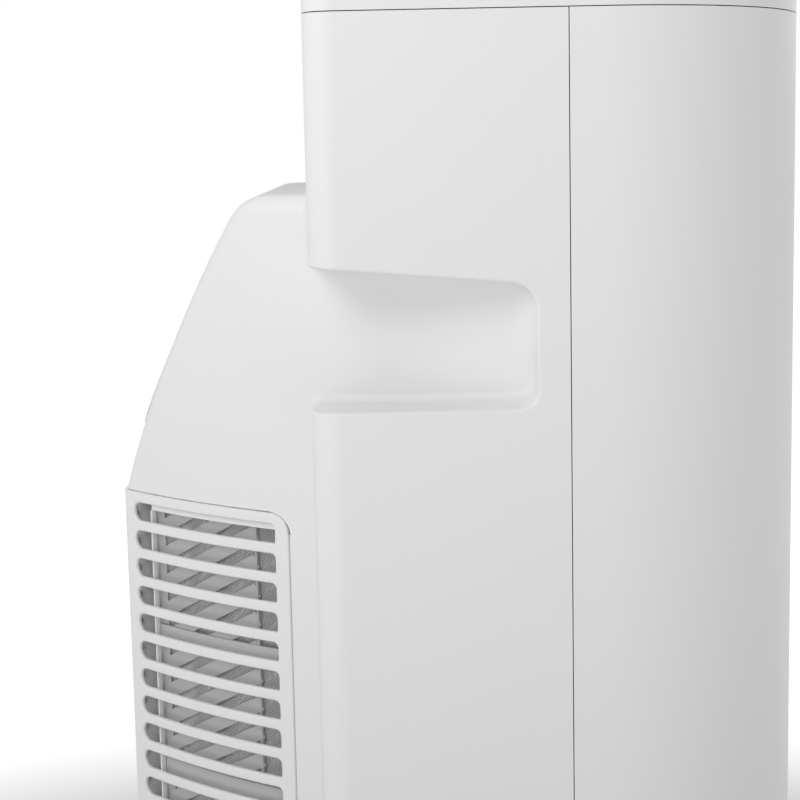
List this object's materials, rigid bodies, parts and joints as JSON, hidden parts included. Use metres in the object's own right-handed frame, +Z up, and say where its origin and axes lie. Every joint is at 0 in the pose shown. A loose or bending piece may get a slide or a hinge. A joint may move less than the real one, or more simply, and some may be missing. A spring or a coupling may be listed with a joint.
{
  "type": "portable air conditioner",
  "caption": "Upright portable air conditioner on swivel casters, with a rear hump that carries a slotted intake grille and an exhaust port, and handle recesses in its sides.",
  "frame": {"origin": "middle of the footprint on the floor", "axes": "+Z up, front and air outlet towards -Y, rear hump towards +Y, +X to the right seen from the front"},
  "size_m": [0.44, 0.366, 0.765],
  "materials": {
    "shell_white": "fine moulded texture, satin",
    "button_white": "satin",
    "trim_grey": "satin",
    "filter_grey": "matt",
    "dark_plastic": "matt",
    "display_black": "polished",
    "zinc_steel": "zinc plated",
    "painted_black": "semi-gloss paint",
    "fin_aluminium": "bare sheet",
    "copper_tube": "drawn copper",
    "rubber_black": "matt",
    "board_green": "solder mask"
  },
  "bodies": {
    "root": {"base_pan": "shell_white", "front_cover": "shell_white", "rear_cover": "shell_white", "top_cover": "shell_white", "control_fascia": "trim_grey", "display_lens": "display_black", "exhaust_collar": "shell_white", "exhaust_duct": "trim_grey", "cord_gland": "trim_grey", "case_screws": "zinc_steel", "caster_stems": "zinc_steel", "compressor": "painted_black", "compressor_grommets": "rubber_black", "refrigerant_pipes": "copper_tube", "evaporator_coil": "fin_aluminium", "evaporator_bends": "copper_tube", "condenser_coil": "fin_aluminium", "condenser_bends": "copper_tube", "drip_tray": "trim_grey", "upper_blower_housing": "dark_plastic", "lower_blower_housing": "dark_plastic", "upper_fan_motor": "zinc_steel", "lower_fan_motor": "zinc_steel", "slinger_motor": "dark_plastic", "electrical_box": "zinc_steel", "run_capacitor": "zinc_steel", "control_board": "board_green", "outlet_duct": "trim_grey"},
    "upper_fan": {"upper_blower_wheel": "dark_plastic"},
    "lower_fan": {"lower_blower_wheel": "dark_plastic"},
    "slinger": {"slinger_wheel": "trim_grey"},
    "flap": {"louvre_flap": "shell_white"},
    "vane_a": {"vane_1": "trim_grey"},
    "vane_b": {"vane_2": "trim_grey"},
    "vane_c": {"vane_3": "trim_grey"},
    "vane_d": {"vane_4": "trim_grey"},
    "link": {"vane_link": "trim_grey"},
    "power_key": {"button_power": "button_white"},
    "mode_key": {"button_mode": "button_white"},
    "fan_key": {"button_fan": "button_white"},
    "timer_key": {"button_timer": "button_white"},
    "up_key": {"button_up": "button_white"},
    "down_key": {"button_down": "button_white"},
    "grille": {"grille_panel": "shell_white", "side_filters": "filter_grey", "rear_filter": "filter_grey"},
    "upper_intake": {"upper_grille": "shell_white", "upper_filter": "filter_grey"},
    "drain": {"drain_plug": "rubber_black"},
    "swivel_1": {"caster_fork_1": "dark_plastic"},
    "wheel_1": {"caster_wheel_1": "dark_plastic"},
    "swivel_2": {"caster_fork_2": "dark_plastic"},
    "wheel_2": {"caster_wheel_2": "dark_plastic"},
    "swivel_3": {"caster_fork_3": "dark_plastic"},
    "wheel_3": {"caster_wheel_3": "dark_plastic"},
    "swivel_4": {"caster_fork_4": "dark_plastic"},
    "wheel_4": {"caster_wheel_4": "dark_plastic"}
  },
  "joints": [
    {"name": "upper_fan_spin", "type": "hinge", "parent": "root", "child": "upper_fan", "pos_m": [0, -0.043, 0.588], "axis": [0, 1, 0], "continuous": true},
    {"name": "lower_fan_spin", "type": "hinge", "parent": "root", "child": "lower_fan", "pos_m": [0.06, -0.046, 0.236], "axis": [0, 1, 0], "continuous": true},
    {"name": "slinger_spin", "type": "hinge", "parent": "root", "child": "slinger", "pos_m": [0.168, 0.022, 0.104], "axis": [0, 1, 0], "continuous": true},
    {"name": "flap_tilt", "type": "hinge", "parent": "root", "child": "flap", "pos_m": [0, -0.1755, 0.6485], "axis": [1, 0, 0], "range_deg": [0, 75]},
    {"name": "vane_a_turn", "type": "hinge", "parent": "root", "child": "vane_a", "pos_m": [-0.075, -0.14, 0.67], "axis": [0, 0, 1], "range_deg": [-35, 35]},
    {"name": "vane_b_turn", "type": "hinge", "parent": "root", "child": "vane_b", "pos_m": [-0.025, -0.14, 0.67], "axis": [0, 0, 1], "range_deg": [-35, 35]},
    {"name": "vane_c_turn", "type": "hinge", "parent": "root", "child": "vane_c", "pos_m": [0.025, -0.14, 0.67], "axis": [0, 0, 1], "range_deg": [-35, 35]},
    {"name": "vane_d_turn", "type": "hinge", "parent": "root", "child": "vane_d", "pos_m": [0.075, -0.14, 0.67], "axis": [0, 0, 1], "range_deg": [-35, 35]},
    {"name": "link_turn", "type": "hinge", "parent": "vane_a", "child": "link", "pos_m": [-0.075, -0.122, 0.652], "axis": [0, 0, 1], "range_deg": [-35, 35]},
    {"name": "power_press", "type": "slide", "parent": "root", "child": "power_key", "axis": [0, 0, -1], "range_m": [0, 0.0012], "stiffness_N_per_m": 400},
    {"name": "mode_press", "type": "slide", "parent": "root", "child": "mode_key", "axis": [0, 0, -1], "range_m": [0, 0.0012], "stiffness_N_per_m": 400},
    {"name": "fan_press", "type": "slide", "parent": "root", "child": "fan_key", "axis": [0, 0, -1], "range_m": [0, 0.0012], "stiffness_N_per_m": 400},
    {"name": "timer_press", "type": "slide", "parent": "root", "child": "timer_key", "axis": [0, 0, -1], "range_m": [0, 0.0012], "stiffness_N_per_m": 400},
    {"name": "up_press", "type": "slide", "parent": "root", "child": "up_key", "axis": [0, 0, -1], "range_m": [0, 0.0012], "stiffness_N_per_m": 400},
    {"name": "down_press", "type": "slide", "parent": "root", "child": "down_key", "axis": [0, 0, -1], "range_m": [0, 0.0012], "stiffness_N_per_m": 400},
    {"name": "grille_pull", "type": "slide", "parent": "root", "child": "grille", "axis": [0, 1, 0], "range_m": [0, 0.06]},
    {"name": "upper_intake_pull", "type": "slide", "parent": "root", "child": "upper_intake", "axis": [0, 1, 0], "range_m": [0, 0.03]},
    {"name": "drain_pull", "type": "slide", "parent": "root", "child": "drain", "axis": [0, 1, 0], "range_m": [0, 0.02]},
    {"name": "swivel_1_turn", "type": "hinge", "parent": "root", "child": "swivel_1", "pos_m": [-0.16, -0.128, 0.042], "axis": [0, 0, 1], "continuous": true},
    {"name": "wheel_1_spin", "type": "hinge", "parent": "swivel_1", "child": "wheel_1", "pos_m": [-0.16, -0.114, 0.018], "axis": [1, 0, 0], "continuous": true},
    {"name": "swivel_2_turn", "type": "hinge", "parent": "root", "child": "swivel_2", "pos_m": [0.16, -0.128, 0.042], "axis": [0, 0, 1], "continuous": true},
    {"name": "wheel_2_spin", "type": "hinge", "parent": "swivel_2", "child": "wheel_2", "pos_m": [0.16, -0.114, 0.018], "axis": [1, 0, 0], "continuous": true},
    {"name": "swivel_3_turn", "type": "hinge", "parent": "root", "child": "swivel_3", "pos_m": [-0.084, 0.112, 0.042], "axis": [0, 0, 1], "continuous": true},
    {"name": "wheel_3_spin", "type": "hinge", "parent": "swivel_3", "child": "wheel_3", "pos_m": [-0.084, 0.126, 0.018], "axis": [1, 0, 0], "continuous": true},
    {"name": "swivel_4_turn", "type": "hinge", "parent": "root", "child": "swivel_4", "pos_m": [0.084, 0.112, 0.042], "axis": [0, 0, 1], "continuous": true},
    {"name": "wheel_4_spin", "type": "hinge", "parent": "swivel_4", "child": "wheel_4", "pos_m": [0.084, 0.126, 0.018], "axis": [1, 0, 0], "continuous": true}
  ],
  "couplings": [
    {"joint": "vane_b_turn", "follows": "vane_a_turn", "ratio": 1},
    {"joint": "vane_c_turn", "follows": "vane_a_turn", "ratio": 1},
    {"joint": "vane_d_turn", "follows": "vane_a_turn", "ratio": 1},
    {"joint": "link_turn", "follows": "vane_a_turn", "ratio": -1}
  ]
}
